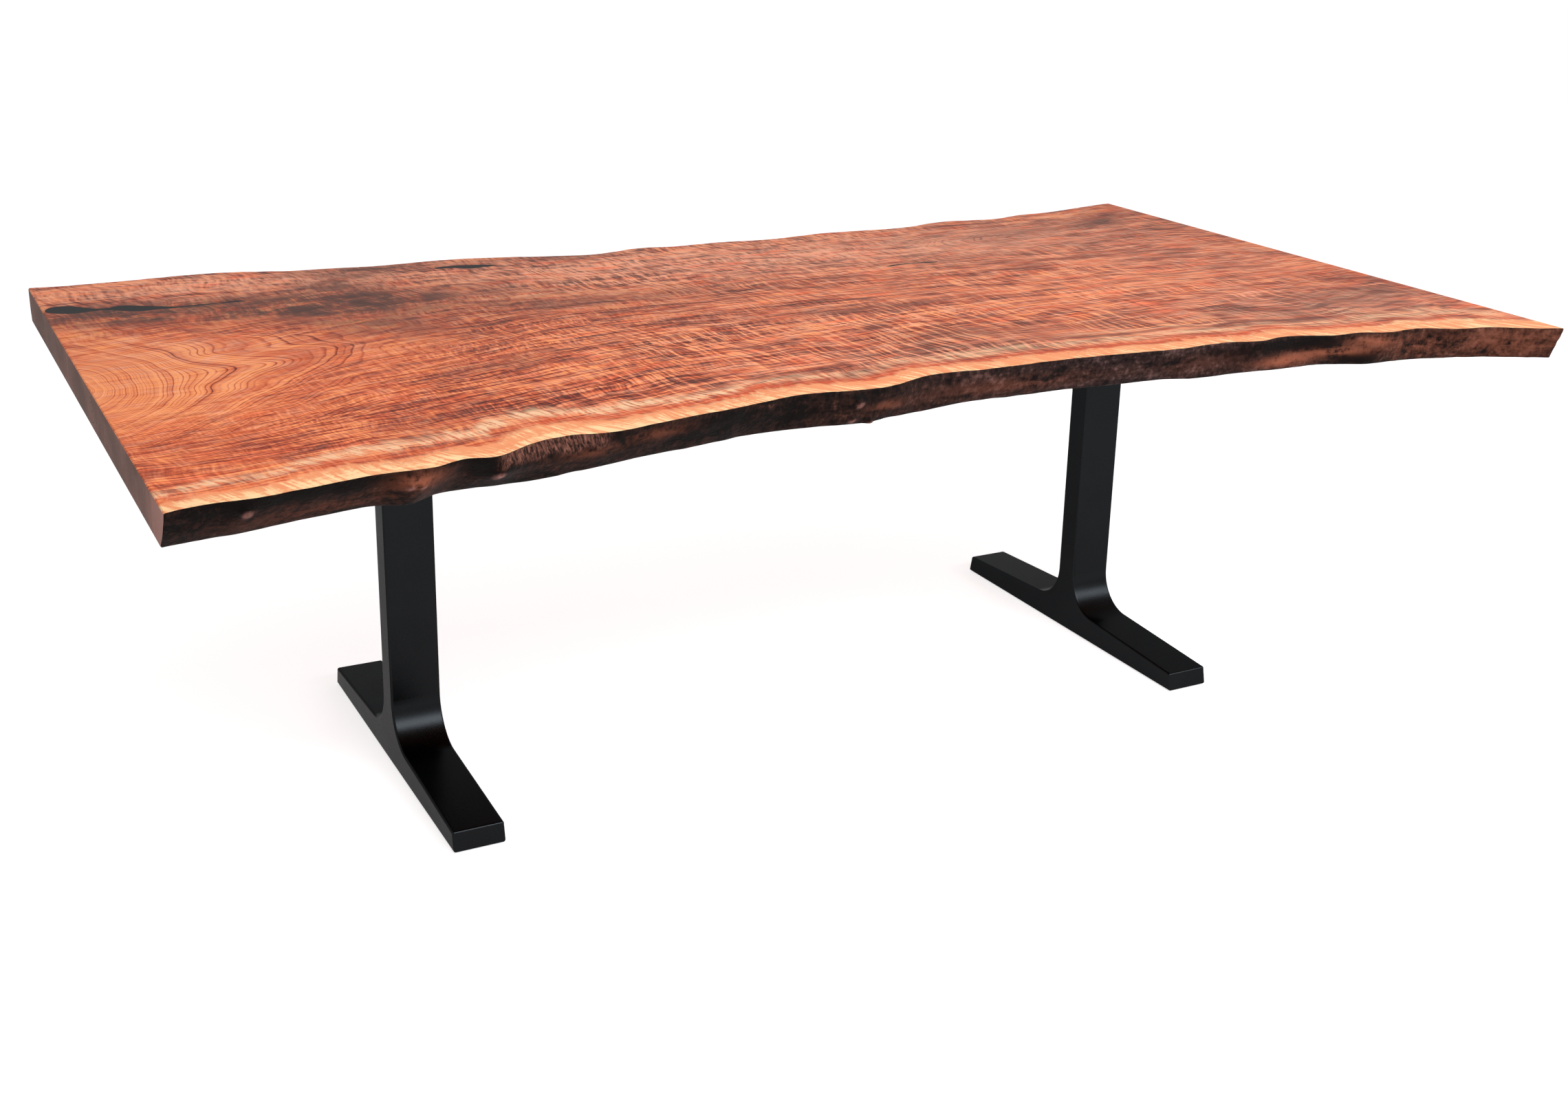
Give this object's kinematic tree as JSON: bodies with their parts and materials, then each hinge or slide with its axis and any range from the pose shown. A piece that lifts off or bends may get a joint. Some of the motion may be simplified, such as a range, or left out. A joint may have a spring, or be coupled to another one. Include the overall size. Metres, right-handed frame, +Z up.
{
  "type": "live edge dining table",
  "caption": "Wide natural-edge wooden slab with black resin fills, bolted to black steel pedestal bases with raked feet on screw levellers; a table to dine at.",
  "frame": {"origin": "on the floor under the middle of the slab's box", "axes": "+X along the slab's length to the picture's right, +Y to the back live edge, +Z up"},
  "size_m": [2.438, 1.358, 0.75],
  "materials": {
    "wood": "oiled satin, curly figured reddish-brown wood with pale sapwood along the edges",
    "resin": "black casting resin, sanded flush",
    "powder_coat": "satin black powder coat",
    "steel": "zinc plated",
    "brass": "turned brass",
    "pad": "black nylon"
  },
  "bodies": {
    "table": {"slab": "wood", "end_void_resin": "resin", "back_void_resin": "resin", "crack_resin": "resin", "left_foot_shell": "powder_coat", "left_sole_plate": "powder_coat", "left_post_tube": "powder_coat", "left_arm_shell": "powder_coat", "left_mounting_plate": "powder_coat", "left_leveller_nuts": "steel", "left_slab_bolts": "steel", "left_slab_washers": "steel", "left_slab_inserts": "brass", "right_foot_shell": "powder_coat", "right_sole_plate": "powder_coat", "right_post_tube": "powder_coat", "right_arm_shell": "powder_coat", "right_mounting_plate": "powder_coat", "right_leveller_nuts": "steel", "right_slab_bolts": "steel", "right_slab_washers": "steel", "right_slab_inserts": "brass"},
    "left_front_leveller": {"left_front_leveller_pad": "pad", "left_front_leveller_stud": "steel"},
    "left_back_leveller": {"left_back_leveller_pad": "pad", "left_back_leveller_stud": "steel"},
    "right_front_leveller": {"right_front_leveller_pad": "pad", "right_front_leveller_stud": "steel"},
    "right_back_leveller": {"right_back_leveller_pad": "pad", "right_back_leveller_stud": "steel"}
  },
  "joints": [
    {"name": "left_front_leveller_slide", "type": "slide", "parent": "table", "child": "left_front_leveller", "axis": [0, 0, 1], "range_m": [-0.012, 0]},
    {"name": "left_back_leveller_slide", "type": "slide", "parent": "table", "child": "left_back_leveller", "axis": [0, 0, 1], "range_m": [-0.012, 0]},
    {"name": "right_front_leveller_slide", "type": "slide", "parent": "table", "child": "right_front_leveller", "axis": [0, 0, 1], "range_m": [-0.012, 0]},
    {"name": "right_back_leveller_slide", "type": "slide", "parent": "table", "child": "right_back_leveller", "axis": [0, 0, 1], "range_m": [-0.012, 0]}
  ]
}
